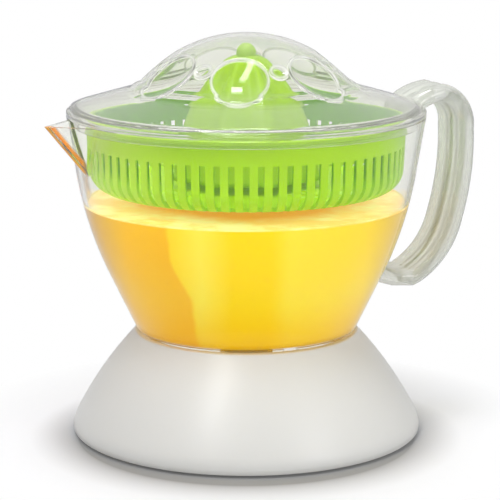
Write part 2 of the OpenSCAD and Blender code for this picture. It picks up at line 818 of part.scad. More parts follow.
module large_cone() {
    color("limegreen") difference() {
        union() {
            cone_shell_solid(rib_depth);
            for (i = [0:cone_ribs - 1]) rotate([90, 0, cone_turn + (i + 0.5) * 360 / cone_ribs])
                translate([0, 0, -1.2]) linear_extrude(2.4)
                    polygon(concat([[0, cone_top_z - 1]], cone_side, [[0, cone_bottom_z]]));
        }
        rotate_extrude() polygon(concat([[0, cone_top_z - 2.6]],
            [for (p = cone_valley(rib_depth + 2)) if (p[1] < cone_top_z - 2.6) p],
            [[cone_r - rib_depth - 2, cone_bottom_z - 1], [0, cone_bottom_z - 1]]));
        disc(nub_r + 0.5, cone_bottom_z, cone_top_z + 1);
        cone_dogs(0.2);
    }
}

shoulder_ring_z = cone_top_z - 2.6;
small_roof_z = cone_top_z - 22;
small_rib_w = 1.8;
small_rib_h = 1.4;
small_rib_drop = 0.6;
small_flank = arc([nub_r + 3, shoulder_ring_z - 2], [small_cone_r - 1.6, cone_bottom_z + 0.4],
    small_bow_r, 8);
small_side = concat(
    [for (i = [0:4]) [nub_r * sin(90 * i / 4), nub_top_z - nub_r * (1 - cos(90 * i / 4))]],
    [[nub_r, shoulder_ring_z], [nub_r + 2.6, shoulder_ring_z]], small_flank);

// Dogs on the small cone's shoulder that turn the large cone
module cone_dogs(play) {
    rotate([0, 0, cone_turn]) translate([-nub_r - 2.2, -1.5 - play, shoulder_ring_z - 0.5])
        cube([2 * (nub_r + 2.2), 3 + 2 * play, 2.2]);
}

module small_cone_ribs() {
    flank = [for (p = small_flank) if (p[1] > cone_bottom_z + 2) p];
    for (i = [0:cone_ribs / 2 - 1]) rotate([90, 0, cone_turn + (i + 0.25) * 360 / cone_ribs])
        translate([0, 0, -small_rib_w / 2]) linear_extrude(small_rib_w)
            polygon(concat([for (p = reversed(flank)) [-p[0] - small_rib_h, p[1] - small_rib_drop]],
                [for (p = flank) [p[0] + small_rib_h, p[1] - small_rib_drop]]));
}

module small_cone() {
    color("greenyellow") difference() {
        union() {
            difference() {
                union() {
                    rotate_extrude() polygon(concat(small_side, [[0, cone_bottom_z + 0.4]]));
                    small_cone_ribs();
                }
                rotate_extrude() polygon(concat([[0, small_roof_z]],
                    arc([6, small_roof_z], [small_cone_r - 3.6, cone_bottom_z], 80, 6),
                    [[small_cone_r - 3.6, cone_bottom_z - 1], [0, cone_bottom_z - 1]]));
            }
            disc(head_r + 2.4, head_bottom + 2.6, small_roof_z + 2);
            cone_dogs(0);
        }
        translate([0, 0, cone_bottom_z - 1]) linear_extrude(head_top + gap - cone_bottom_z + 1)
            head_outline(gap);
    }
}

// ---------- lid ----------

lid_z = rim_z + gap;
dome_start_r = dome_foot_r - 3.4;
dome_start = [dome_start_r, dome_centre_z + sqrt(pow(dome_sphere_r, 2) - pow(dome_start_r, 2))];
dome_foot_z = dome_start[1] - dome_foot_drop;
lid_slope = [[rim_r - 1.8, lid_edge_z + 0.5], [dome_foot_r + 1.6, dome_foot_z - 0.5]];
lid_side = concat([[rim_r, lid_z], [rim_r, lid_edge_z - 1.4]],
    arc([rim_r, lid_edge_z - 1.4], [rim_r - 1.8, lid_edge_z + 0.5], 2.2, 3),
    reversed(arc(dome_start, lid_slope[1], 9, 4)));
dome_steps = 14;
dome_line = let (a0 = asin(dome_start[0] / dome_sphere_r))
    [for (i = [1:dome_steps]) let (a = a0 * (1 - i / dome_steps))
        [dome_sphere_r * sin(a), dome_centre_z + dome_sphere_r * cos(a)]];
lid_line = concat([lid_side[0], lid_side[1]], [for (i = [3:len(lid_side) - 1]) lid_side[i]], dome_line);

hollow_ring_r = dome_foot_r - 9.6;
pit_ring_r = hollow_ring_r - 2.9;

// Spheres round the dome that scoop hollows whose rims lie on it
module scoops(r, depth, ring_r, turn, grow) {
    sphere_r = (r * r + depth * depth) / 2 / depth;
    reach = sqrt(dome_sphere_r * dome_sphere_r - r * r) + sqrt(sphere_r * sphere_r - r * r);
    for (i = [0:hollow_count - 1]) rotate([0, 0, turn + i * 360 / hollow_count])
        translate([0, 0, dome_centre_z]) rotate([0, asin(ring_r / dome_sphere_r), 0]) translate([0, 0, reach])
            sphere(r = sphere_r + grow);
}

module dome_hollows(grow) {
    scoops(hollow_r, hollow_depth, hollow_ring_r, hollow_turn, grow);
    scoops(pit_r, pit_depth, pit_ring_r, hollow_turn + 180 / hollow_count, grow);
}

module lid() {
    inner = [for (p = beside(lid_line, lid_wall)) if (p[1] < dome_top_z - lid_wall + 1) p];
    inner_top = concat([[rim_r - lid_wall, lid_z - 1], [rim_r - lid_wall, lid_edge_z - lid_wall - 0.4]],
        [for (i = [4:len(inner) - 1]) [max(0, inner[i][0]), inner[i][1]]]);
    color("aliceblue", 0.45) {
        difference() {
            rotate_extrude() polygon(concat(lid_line, [[0, lid_z]]));
            difference() {
                rotate_extrude() polygon(concat(inner_top, [[0, lid_z - 1]]));
                dome_hollows(lid_wall);
            }
            dome_hollows(0);
        }
        tube(ring_out, ring_out - 1.5, rim_z - 4, lid_edge_z - 0.6);
    }
}

base_housing();
base_plate();
rubber_feet();
base_screws();
cord_gland();
terminal_block();
stator_core();
coil_bobbin();
coil_winding();
rotor_magnet();
rotor_shaft();
rotor_pinion();
rotor_bracket();
motor_screws();
gear_plate();
gear_plate_screws();
lower_bush();
upper_bush();
gear_pin();
intermediate_gear();
output_gear();
drive_shaft();
shaft_seal();
start_switch();
switch_plunger();
return_spring();
jug();
jug_handle();
strainer();
small_cone();
large_cone();
lid();
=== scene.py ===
import math

import bmesh
import bpy
from mathutils import Matrix, Vector


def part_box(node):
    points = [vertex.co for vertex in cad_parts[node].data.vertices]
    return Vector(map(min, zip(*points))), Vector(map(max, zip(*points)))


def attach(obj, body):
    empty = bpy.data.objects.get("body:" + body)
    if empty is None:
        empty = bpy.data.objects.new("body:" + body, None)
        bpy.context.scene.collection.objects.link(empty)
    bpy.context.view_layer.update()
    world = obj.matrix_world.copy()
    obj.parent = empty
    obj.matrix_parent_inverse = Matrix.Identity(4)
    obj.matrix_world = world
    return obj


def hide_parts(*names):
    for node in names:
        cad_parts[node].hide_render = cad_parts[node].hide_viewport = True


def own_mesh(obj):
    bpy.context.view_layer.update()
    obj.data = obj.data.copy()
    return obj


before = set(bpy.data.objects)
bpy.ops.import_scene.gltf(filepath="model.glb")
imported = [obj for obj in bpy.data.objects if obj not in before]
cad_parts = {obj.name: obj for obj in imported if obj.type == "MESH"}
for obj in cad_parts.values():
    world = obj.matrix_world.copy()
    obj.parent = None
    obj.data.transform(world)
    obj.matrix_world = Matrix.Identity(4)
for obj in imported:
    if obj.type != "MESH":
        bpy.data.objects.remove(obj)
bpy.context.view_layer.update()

MM = 0.001


# ---------- sizes, in millimetres, and the eye's place ----------

BASE_R, LIP_TOP, GROUND_GAP = 80.0, 4.8, 1.2
BASE_SIDE_R = 165.0
LEDGE_R, LEDGE_Z, SEAT_Z = 51.4, 47.2, 41.0
SEAT_R = LEDGE_R - 4.6
CEILING_Z = SEAT_Z - 2.4
KEY_TURNS = (30, 150, 270)
BASE_WALL = 2.4
COLLAR_R, COLLAR_TOP, COLLAR_BORE = 9.6, 52.0, 8.0

JUG_Z, JUG_BOTTOM_R = 47.5, 50.6
FLARE = (63.9, 76.8)
SHOULDER = (77.4, 123.6)
RIM_R, RIM_Z = 81.0, 146.0
JUG_WALL = 2.0
SPOUT_REACH, SPOUT_HALF_W, SPOUT_ROOT_Z = 96.4, 16.0, 123.0
CHIMNEY_R, CHIMNEY_TOP = 9.0, 117.0

HANDLE_W, HANDLE_T, FLUTE = 27.0, 8.0, 1.1
FLUTES, EDGE_ROUND = 3.1, 3.0
GRIP_X = 110.0

STRAINER_R, STRAINER_TOP, STRAINER_BOTTOM = 72.2, 144.6, 112.6
STRAINER_CORNER, STRAINER_WALL = 10.0, 1.7
SLOTS, SLOT_W, SLOT_TOP = 72, 2.6, 133.8

CONE_R, CONE_Z, CONE_TOP = 35.0, 118.0, 172.5
CONE_BOW_R, CONE_WALL = 80.0, 1.8
CONE_RIBS, RIB_DEPTH, CONE_TURN = 8, 3.4, 20.0
NUB_R, NUB_TOP, NUB_FOOT_R, NUB_BOW_R = 4.5, 178.0, 19.4, 110.0

LID_Z, LID_EDGE_Z = 146.3, 149.7
DOME_FOOT = (51.0, 158.4)
DOME_R, DOME_TOP = 63.1, 182.7
LID_WALL = 1.8
HOLLOWS, HOLLOW_TURN, HOLLOW_RIM = 7, 35.3, 0.8
HOLLOW_R, HOLLOW_DEPTH, HOLLOW_RING_R = 12.4, 3.0, 41.4
PIT_R, PIT_DEPTH, PIT_RING_R = 3.6, 0.9, 38.5

JUICE_Z = 106.7

COIL_WIRE, COIL_TURNS, COIL_YIELD = 0.45, 4, 3.1

EYE_TURN = -25.0  # azimuth of the eye, in degrees
ROOM_LIGHT, DIM_ROOM_LIGHT = 0.45, 0.1
FLOOR_LIFT = 0.1


def seen_from_eye(right, near, z):
    """The place so many millimetres to the right of the axis and nearer to the eye, in metres."""
    turn = math.radians(EYE_TURN)
    return ((right * math.cos(turn) + near * math.sin(turn)) * MM,
            (right * math.sin(turn) - near * math.cos(turn)) * MM, z * MM)


# Unit directions
EYE_RIGHT = seen_from_eye(1 / MM, 0, 0)
EYE_LEFT = seen_from_eye(-1 / MM, 0, 0)
TO_EYE = seen_from_eye(0, 1 / MM, 0)
TO_EYE_AND_UP = seen_from_eye(0, 1 / MM, 0.2 / MM)


# ---------- small geometry tools ----------

def arc(a, b, radius, steps):
    """Points on the arc from a to b that bulges to the left of the way from a to b."""
    ax, ay = a
    bx, by = b
    span = math.hypot(bx - ax, by - ay)
    ux, uy = (bx - ax) / span, (by - ay) / span
    drop = math.sqrt(max(0.0, radius * radius - span * span / 4))
    cx, cy = (ax + bx) / 2 + uy * drop, (ay + by) / 2 - ux * drop
    start = math.atan2(ay - cy, ax - cx)
    turn = math.remainder(math.atan2(by - cy, bx - cx) - start, math.tau)
    return [(cx + radius * math.cos(start + turn * i / steps),
             cy + radius * math.sin(start + turn * i / steps)) for i in range(steps + 1)]


def straight(a, b, steps):
    return [(a[0] + (b[0] - a[0]) * i / steps, a[1] + (b[1] - a[1]) * i / steps)
            for i in range(steps + 1)]


def joined(*runs):
    """One line of points from several runs; a point that a run shares with the one before is kept once."""
    line = list(runs[0])
    for run in runs[1:]:
        line.extend(run[1:] if math.dist(run[0], line[-1]) < 0.01 else run)
    return line


def rounded(points, radius, steps=3, loop=False):
    """The line of points with its corners rounded, but for the ends of an open line."""
    line = []
    count = len(points)
    for i, point in enumerate(points):
        if not loop and i in (0, count - 1):
            line.append(point)
            continue
        before, after = Vector(points[i - 1]), Vector(points[(i + 1) % count])
        here = Vector(point)
        cut = min(radius, (before - here).length / 2.2, (after - here).length / 2.2)
        start = here + (before - here).normalized() * cut
        end = here + (after - here).normalized() * cut
        for k in range(steps + 1):
            t = k / steps
            spot = start.lerp(here, t).lerp(here.lerp(end, t), t)
            line.append((spot.x, spot.y))
    return line


def beside(line, away):
    """The line moved to its left."""
    moved = []
    for i, (x, y) in enumerate(line):
        ax, ay = line[max(0, i - 1)]
        bx, by = line[min(len(line) - 1, i + 1)]
        span = math.hypot(bx - ax, by - ay)
        moved.append((x - away * (by - ay) / span, y + away * (bx - ax) / span))
    return moved


def spin(bm, geom, angle, steps, **more):
    """Spin points, edges or faces about the upright axis."""
    return bmesh.ops.spin(bm, geom=geom, cent=(0, 0, 0), axis=(0, 0, 1), angle=angle, steps=steps, **more)


def upright(bm, line):
    """Points at (radius, height) over the X axis."""
    return [bm.verts.new((r * MM, 0, z * MM)) for r, z in line]


def turn_points(bm, verts, angle):
    """Turn points about the upright axis."""
    bmesh.ops.rotate(bm, verts=verts, cent=(0, 0, 0), matrix=Matrix.Rotation(angle, 3, "Z"))


def revolve(bm, line, steps, closed=False):
    """Spin a line of (radius, height) points all the way round the upright axis."""
    verts = upright(bm, line)
    pairs = list(zip(verts, verts[1:]))
    if closed:
        pairs.append((verts[-1], verts[0]))
    edges = [bm.edges.new(pair) for pair in pairs]
    spin(bm, verts + edges, math.tau, steps, use_merge=True)


def merge_doubles(bm):
    """Merge doubled points, then build the mesh anew in an order that is the same in every run."""
    bmesh.ops.remove_doubles(bm, verts=bm.verts[:], dist=0.002 * MM)

    def sort(parts, key):
        for number, part in enumerate(sorted(parts, key=key)):
            part.index = number
        parts.sort()

    def corners(part):
        return sorted(vert.index for vert in part.verts)

    sort(bm.verts, lambda vert: vert.co[:])
    sort(bm.edges, corners)
    sort(bm.faces, corners)
    in_order = bpy.data.meshes.new("in_order")
    bm.to_mesh(in_order)
    for edge in in_order.edges:
        edge.vertices = sorted(edge.vertices)
    bm.clear()
    bm.from_mesh(in_order)
    bpy.data.meshes.remove(in_order)


def edges_of(faces):
    """The edges of some faces, each once and in a fixed order."""
    return list(dict.fromkeys(edge for face in faces for edge in face.edges))


def turned_out(bm):
    """Merge doubled points and turn the faces outwards."""
    merge_doubles(bm)
    bmesh.ops.recalc_face_normals(bm, faces=bm.faces[:])
    widest = max(bm.faces, key=lambda face: face.calc_center_median().xy.length)
    if widest.normal.xy.dot(widest.calc_center_median().xy) < 0:
        bmesh.ops.reverse_faces(bm, faces=bm.faces[:])


def finished(bm, name, sharp=35):
    """Turn a bmesh into a smooth-shaded object whose hard corners stay crisp."""
    turned_out(bm)
    mesh = bpy.data.meshes.new(name)
    bm.to_mesh(mesh)
    bm.free()
    mesh.shade_smooth()
    if sharp:
        mesh.set_sharp_from_angle(angle=math.radians(sharp))
    obj = bpy.data.objects.new(name, mesh)
    bpy.context.scene.collection.objects.link(obj)
    return obj


def thickened(obj, wall):
    """Give an open sheet a wall on its inner side."""
    wall_maker = obj.modifiers.new("wall", "SOLIDIFY")
    wall_maker.thickness = wall * MM
    wall_maker.offset = -1
    wall_maker.use_even_offset = True
    wall_maker.use_rim = True
    return obj


# ---------- shader tools ----------

LIGHT_PATH = {"camera": 0, "shadow": 1, "glossy": 3, "transmission": 6}
BLACK, WHITE = (0, 0, 0), (1, 1, 1)
# layer that carries the painted rim highlight on the lid
RIM_HIGHLIGHT_LAYER = "rim"


class Socket:
    """A shader value that Python's operators can work on."""

    def __init__(self, shader, link):
        self.shader, self.link = shader, link

    def _maths(self, operation, *values):
        return self.shader.node("ShaderNodeMath", {"operation": operation}, *values)

    def __add__(self, other):
        return self._maths("ADD", self, other)

    def __sub__(self, other):
        return self._maths("SUBTRACT", self, other)

    def __mul__(self, other):
        return self._maths("MULTIPLY", self, other)

    def __truediv__(self, other):
        return self._maths("DIVIDE", self, other)

    def __pow__(self, other):
        return self._maths("POWER", self, other)

    def __rsub__(self, other):
        return self._maths("SUBTRACT", other, self)

    __radd__ = __add__
    __rmul__ = __mul__

    def sine(self):
        return self._maths("SINE", self)

    def size(self):
        return self._maths("ABSOLUTE", self)

    def at_most(self, other):
        return self._maths("MINIMUM", self, other)

    def at_least(self, other):
        return self._maths("MAXIMUM", self, other)


class Shader:
    """The nodes of one material, or of the world."""

    def __init__(self, owner, kind="Material"):
        self.owner = owner
        owner.use_nodes = True
        self.tree = owner.node_tree
        self.tree.nodes.clear()
        self.out = self.tree.nodes.new("ShaderNodeOutput" + kind)
        self.place = None

    def node(self, kind, settings, *values, output=0, **named):
        """Add a node: its settings first, then its inputs by order or by name, as values or links."""
        made = self.tree.nodes.new(kind)
        for key, value in settings.items():
            if key == "stops":
                self._stops(made.color_ramp, value)
            else:
                setattr(made, key, value)
        for slot, value in (*enumerate(values), *named.items()):
            if value is None:
                continue
            socket = made.inputs[slot.replace("_", " ") if isinstance(slot, str) else slot]
            if isinstance(value, Socket):
                self.tree.links.new(value.link, socket)
            elif socket.type == "RGBA":
                socket.default_value = (*value, 1)
            else:
                socket.default_value = value
        return Socket(self, made.outputs[output])

    @staticmethod
    def _stops(ramp, stops):
        while len(ramp.elements) < len(stops):
            ramp.elements.new(0.5)
        for element, (spot, colour) in zip(ramp.elements, stops):
            element.position = spot
            element.color = (*colour, 1)

    def coordinates(self):
        if self.place is None:
            self.place = self.node("ShaderNodeTexCoord", {}, output=3)
        return self.place

    def axis(self, which):
        return self.node("ShaderNodeSeparateXYZ", {}, self.coordinates(), output="XYZ".index(which))

    def vector(self, operation, *values, output=1):
        return self.node("ShaderNodeVectorMath", {"operation": operation}, self.coordinates(), *values, output=output)

    def along(self, way):
        """How far the shaded place lies from the origin along a unit direction."""
        return self.vector("DOT_PRODUCT", way)

    def away_from(self, place):
        return self.vector("DISTANCE", place)

    def from_axis(self):
        flat = self.vector("MULTIPLY", (1, 1, 0), output=0)
        return self.node("ShaderNodeVectorMath", {"operation": "LENGTH"}, flat, output=1)

    def ridges(self, which, pitch):
        """Waves from 0 to 1 along an axis, one to each pitch in millimetres."""
        return (self.axis(which) * (math.tau / (pitch * MM))).sine() * 0.5 + 0.5

    def noise(self, scale, detail=3.0, rough=0.5, stretch=(1, 1, 1)):
        place = self.node("ShaderNodeMapping", {}, self.coordinates(), None, None, stretch)
        return self.node("ShaderNodeTexNoise", {}, place, Scale=scale, Detail=detail, Roughness=rough)

    def ramp(self, value, *stops):
        return self.node("ShaderNodeValToRGB", {"stops": stops}, value)

    def number(self, value, low, high, start=0.0, end=1.0):
        return self.node("ShaderNodeMapRange", {}, value, start, end, low, high)

    def fade(self, value, start, end):
        """0 up to start and 1 from end on, or the other way round where end comes first."""
        if start < end:
            return self.number(value, 0.0, 1.0, start, end)
        return self.number(value, 1.0, 0.0, end, start)

    def mix(self, share, first, second):
        between = [None] * 5
        return self.node("ShaderNodeMix", {"data_type": "RGBA"}, share, *between, first, second, output=2)

    def blend(self, share, first, second):
        """Mix two shaders."""
        return self.node("ShaderNodeMixShader", {}, share, first, second)

    def ray_is(self, way):
        return self.node("ShaderNodeLightPath", {}, output=LIGHT_PATH[way])

    def bump(self, height, strength, distance):
        return self.node("ShaderNodeBump", {}, strength, distance, Height=height)

    def surface(self, **named):
        return self.node("ShaderNodeBsdfPrincipled", {}, **named)

    def done(self, shader):
        self.tree.links.new(shader.link, self.out.inputs["Surface"])
        return self.owner


def new_finish(name):
    return Shader(bpy.data.materials.new(name))


# ---------- finishes ----------

def glossy_white():
    f = new_finish("glossy_white_plastic")
    cloud = f.noise(18, 2)
    rough = f.number(cloud, 0.3, 0.38)
    grain = f.noise(1400, 2)
    return f.done(f.surface(Base_Color=f.mix(cloud, (0.80, 0.80, 0.775), (0.83, 0.83, 0.805)),
                            Roughness=rough, Normal=f.bump(grain, 0.03, 0.00005), IOR=1.48))


def scaled(colour, factor):
    return tuple(min(1, factor * c) for c in colour)


def painted_juice_marks(f):
    """1 where the juice's colour is painted on the plastic: down the spout's keel, where the juice shows through, and
    down the side of the jug beside it, as a painted reflection at its edge seen from the eye.
    """
    wander = (f.noise(50, 2) - 0.5) * (2 * MM)
    # painted juice colour down the spout's keel, standing in for the juice seen through the plastic there
    keel = f.fade((f.axis("Y") + wander).size(), 2.4 * MM, 1.2 * MM)
    keel = keel * f.fade(f.axis("X"), -76 * MM, -79 * MM)
    # painted reflection of the juice at the jug's edge as seen from the eye
    side = f.fade(f.along(EYE_LEFT) / f.from_axis(), 0.99, 0.998)
    height = f.axis("Z")
    side = side * f.fade(height, 132 * MM, 126 * MM) * f.fade(height, 103 * MM, 108 * MM)
    return keel.at_least(side * 0.7)


def clear_plastic(name, tint, film, thin=0.01, dense=0.25, bend=1.14, flow=(1, 1, 0.35), coat=1.0, shade=1.0,
                  rims=0.0, painted_juice=False):
    """Clear moulded plastic: it bends light a little, and its skin greys where it is seen aslant."""
    f = new_finish(name)
    ripple = f.noise(22, 2, 0.4, stretch=flow)
    waves = f.bump(ripple, 0.1, 0.0004)
    body = f.surface(Base_Color=f.mix(ripple, tint, scaled(tint, 1.02)), Roughness=f.number(ripple, 0.01, 0.04),
                     Normal=waves, IOR=bend, Transmission_Weight=1.0, Coat_Weight=coat, Coat_Roughness=0.02,
                     Coat_IOR=1.45)
    veil = f.mix(ripple, film, scaled(film, 0.95))
    aslant = f.node("ShaderNodeLayerWeight", {}, 0.5, output=1)
    share = aslant ** 2.2 * (dense - thin) + thin
    # painted juice colour: the skin turns orange on the spout's keel and at the jug's edge
    if painted_juice:
        juice_colour_share = painted_juice_marks(f)
        veil = f.mix(juice_colour_share, veil, (0.95, 0.42, 0.06))
        share = (share + juice_colour_share * 0.85).at_most(1)
    skin = f.surface(Base_Color=veil, Normal=waves, Roughness=0.12, IOR=1.4)
    # painted highlight: the pale skin is laid thicker on the hollows' rims so they read as bright lines
    if rims:
        share = (share + f.node("ShaderNodeAttribute", {"attribute_name": RIM_HIGHLIGHT_LAYER}, output=2) * rims).at_most(1)
    passing = f.node("ShaderNodeBsdfTransparent", {}, scaled(tint, shade))
    return f.done(f.blend(f.ray_is("shadow"), f.blend(share, body, skin), passing))


def green_plastic(name, deep, bright, glow, painted_glow_strength, bowl=False):
    """Tinted plastic that passes light through it and also glows with painted light; a bowl gets painted shade inside
    and a painted highlight at one side.
    """
    f = new_finish(name)
    cloud = f.noise(30, 3)
    tone = f.mix(cloud, deep, bright)
    if bowl:
        # painted shade: the inside of the bowl below its slots is coloured a deeper green
        painted_shade_inside = f.fade(f.from_axis(), 71 * MM, 70.6 * MM) * f.fade(f.axis("Z"), 121 * MM, 127 * MM)
        tone = f.mix(painted_shade_inside, tone, (0.17, 0.42, 0.0))
        # painted highlight: the bowl's wall is paled towards the eye's left side
        painted_highlight_side = f.number(f.along(EYE_LEFT), 0.0, 0.45, 25 * MM, 62 * MM)
        tone = f.mix(painted_highlight_side * (1 - painted_shade_inside), tone, (0.75, 0.95, 0.12))
    # painted glow: the surface emits its own colour, so the plastic glows though it is no lamp
    outside = f.surface(Base_Color=tone, Roughness=f.number(cloud, 0.2, 0.32), Emission_Color=tone,
                        Emission_Strength=painted_glow_strength, Normal=f.bump(f.noise(260, 2), 0.04, 0.0002),
                        Specular_IOR_Level=0.25)
    through = f.node("ShaderNodeBsdfTranslucent", {}, tone)
    return f.done(f.blend(glow, outside, through))


def juice_side(f, pulp):
    """The juice seen through the jug: painted bands of light and shade across the view, darker towards its edges, a
    leaning plume that is a painted reflection, deeper orange low down.
    """
    height = f.axis("Z")
    across = f.along(EYE_RIGHT)
    # painted light and shade: bright and deep bands fixed across the eye's view, darker orange at both edges
    painted_light_bands = f.ramp(f.fade(across + (pulp - 0.5) * (6 * MM), -75 * MM, 75 * MM),
                   (0.03, (0.72, 0.4, 0.03)), (0.16, (1.0, 0.6, 0.01)), (0.3, (1.0, 0.72, 0.02)),
                   (0.37, (1.0, 0.82, 0.07)), (0.46, (1.0, 0.7, 0.0)), (0.57, (1.0, 0.7, 0.0)),
                   (0.62, (1.0, 0.78, 0.04)), (0.84, (1.0, 0.72, 0.03)), (0.97, (0.75, 0.48, 0.02)))
    up = f.fade(height, JUG_Z * MM, JUICE_Z * MM)
    body = f.mix(f.number(up + (pulp - 0.5) * 0.2, 0.75, 0.0, 0.0, 0.42), painted_light_bands, (0.95, 0.5, 0.0))
    # painted reflection: a leaning orange plume on the side nearer the eye
    lean = across + height * 0.26 + 14.4 * MM + (height * 160).sine() * (1.5 * MM)
    lean = lean / (8 * MM) + (f.noise(55, 2) - 0.5) * 0.9
    painted_reflection_plume = f.number(lean, 0.2, 1.0, -2.5, 0.7) * f.fade(lean, 1.1, 0.85) * f.fade(lean, -3.5, -1.5)
    on_near_side = f.fade(f.along(TO_EYE), 0.0, 10 * MM)
    return f.mix(painted_reflection_plume * on_near_side * 0.6, body, (0.93, 0.4, 0.0))


def juice_top(f, pulp):
    """The juice's surface: deeper orange round the middle as painted shade under the strainer, pale froth farther
    out.
    """
    foam = f.mix(f.fade(f.noise(70, 4, 0.6), 0.4, 0.65), (0.95, 0.6, 0.12), (0.95, 0.8, 0.3))
    # painted shade: the middle of the surface, under the strainer, is a deeper orange; the froth farther out is the
    # juice's own
    out = f.away_from((0, 0, JUICE_Z * MM))
    return f.mix(f.fade(out + (pulp - 0.5) * 0.02, 42 * MM, 56 * MM), (0.85, 0.36, 0.005), foam)


def juice():
    """Pulpy juice with a painted glow: it emits part of its own colour, and its base colour is darkened to match."""
    f = new_finish("orange_juice")
    pulp = f.noise(26, 4, 0.55)
    body, froth = juice_side(f, pulp), juice_top(f, pulp)
    on_top = f.fade(f.axis("Z"), (JUICE_Z - 0.5) * MM, (JUICE_Z - 0.1) * MM)
    # painted glow: the side and the froth emit part of their own colour
    glow = f.mix(on_top, f.mix(0.65, body, BLACK), f.mix(0.35, froth, BLACK))
    return f.done(f.surface(Base_Color=f.mix(0.3, f.mix(on_top, body, froth), BLACK),
                            Roughness=f.number(pulp, 0.22, 0.4), Emission_Color=glow, Emission_Strength=1.0,
                            Specular_IOR_Level=0.1, Normal=f.bump(f.noise(300, 3), 0.08, 0.0003)))


def plain_plastic(name, colour, roughness=0.42):
    f = new_finish(name)
    cloud = f.noise(60, 3)
    return f.done(f.surface(Base_Color=f.mix(cloud, scaled(colour, 0.9), colour),
                            Roughness=f.number(cloud, roughness - 0.05, roughness + 0.08),
                            Normal=f.bump(f.noise(1500, 2), 0.12, 0.00008)))


def soft_rubber(name, colour):
    f = new_finish(name)
    dust = f.noise(240, 4)
    pale = tuple(c + 0.05 for c in colour)
    return f.done(f.surface(Base_Color=f.mix(dust, colour, pale), Roughness=f.number(dust, 0.6, 0.85),
                            Normal=f.bump(f.noise(900, 3), 0.25, 0.0001)))


def drawn_metal(name, colour, roughness):
    f = new_finish(name)
    lines = f.noise(420, 4, 0.6, stretch=(1, 1, 14))
    return f.done(f.surface(Base_Color=f.mix(lines, scaled(colour, 0.78), colour), Metallic=1.0,
                            Roughness=f.number(lines, roughness, roughness + 0.16),
                            Normal=f.bump(lines, 0.1, 0.00006)))


def stacked_sheets():
    """The edges of the stator's thin steel sheets."""
    f = new_finish("stacked_core_sheets")
    sheets = f.ridges("Z", 0.7)
    rust = f.noise(90, 4)
    return f.done(f.surface(Base_Color=f.mix(sheets * rust, (0.08, 0.1, 0.13), (0.22, 0.25, 0.29)),
                            Metallic=0.7, Roughness=f.number(rust, 0.35, 0.6),
                            Normal=f.bump(sheets, 0.5, 0.0002)))


def wound_wire():
    f = new_finish("lacquered_wire")
    turns = f.ridges("Y", 0.45)
    tone = f.noise(120, 3)
    return f.done(f.surface(Base_Color=f.mix(tone, (0.42, 0.12, 0.03), (0.66, 0.26, 0.08)), Metallic=0.8,
                            Roughness=f.number(tone, 0.2, 0.35), Normal=f.bump(turns, 0.8, 0.0002)))


# ---------- pieces ----------

def base_shell():
    """The base's housing: convex side, ledge, seat, collar and hollow underside."""
    side = arc((LEDGE_R + 0.6, LEDGE_Z - 1.4), (BASE_R, LIP_TOP), BASE_SIDE_R, 24)[::-1]
    outer = joined([(BASE_R - 0.5, GROUND_GAP), (BASE_R - 0.1, GROUND_GAP + 0.3), (BASE_R, GROUND_GAP + 0.9)],
                   straight((BASE_R, GROUND_GAP + 0.9), (BASE_R, LIP_TOP - 1.2), 2), side[1:])
    top = rounded([outer[-1], (LEDGE_R - 0.2, LEDGE_Z - 0.05), (SEAT_R, LEDGE_Z - 0.05), (SEAT_R, SEAT_Z),
                   (COLLAR_R, SEAT_Z), (COLLAR_R, COLLAR_TOP), (COLLAR_BORE, COLLAR_TOP),
                   (COLLAR_BORE, CEILING_Z)], 0.7)
    inner = [p for p in beside(outer[3:], BASE_WALL) if LIP_TOP < p[1] < CEILING_Z - 1]
    under = [(COLLAR_BORE + 2, CEILING_Z), (inner[-1][0] - 2, CEILING_Z)] + inner[::-1]
    foot = [(BASE_R - BASE_WALL, LIP_TOP), (BASE_R - BASE_WALL, GROUND_GAP)]
    bm = bmesh.new()
    revolve(bm, joined(outer, top[1:]) + under + foot, 160, closed=True)
    for turn in KEY_TURNS:
        key = bmesh.ops.create_cube(bm, size=1.0, matrix=Matrix.Rotation(math.radians(turn), 4, "Z")
                                    @ Matrix.Translation(Vector((SEAT_R - 1.5, 0, SEAT_Z + 1.7)) * MM)
                                    @ Matrix.Diagonal((5 * MM, 5 * MM, 3.4 * MM, 1)))
        bmesh.ops.bevel(bm, geom=edges_of(face for vert in key["verts"] for face in vert.link_faces),
                        offset=0.4 * MM, affect="EDGES", segments=2, profile=0.5, material=-1)
    return finished(bm, "base_shell")


def jug_line():
    """The outside of the jug's wall, from its lower edge to the rim."""
    slope_low = math.atan2(FLARE[0] - JUG_BOTTOM_R, FLARE[1] - JUG_Z - 1.4)
    slope_up = math.atan2(RIM_R - SHOULDER[0], RIM_Z - SHOULDER[1])
    bend = math.dist(FLARE, SHOULDER) / 2 / math.sin((slope_low - slope_up) / 2)
    low = [(JUG_BOTTOM_R - 1.4, JUG_Z), (JUG_BOTTOM_R - 0.4, JUG_Z + 0.4), (JUG_BOTTOM_R, JUG_Z + 1.4)]
    return joined(low, straight(low[-1], FLARE, 10), arc(SHOULDER, FLARE, bend, 16)[::-1],
                  straight(SHOULDER, (RIM_R, RIM_Z), 12))


def spout_reach(y, z):
    """How far out along -X the spout's trough lies."""
    keel_x = SHOULDER[0] + (z - SPOUT_ROOT_Z) * (SPOUT_REACH - SHOULDER[0]) / (RIM_Z - SPOUT_ROOT_Z)
    root_x = math.sqrt(RIM_R ** 2 - SPOUT_HALF_W ** 2)
    slope = (SPOUT_REACH - root_x) / SPOUT_HALF_W
    return keel_x - slope * math.sqrt(y * y + 0.6) + 0.6


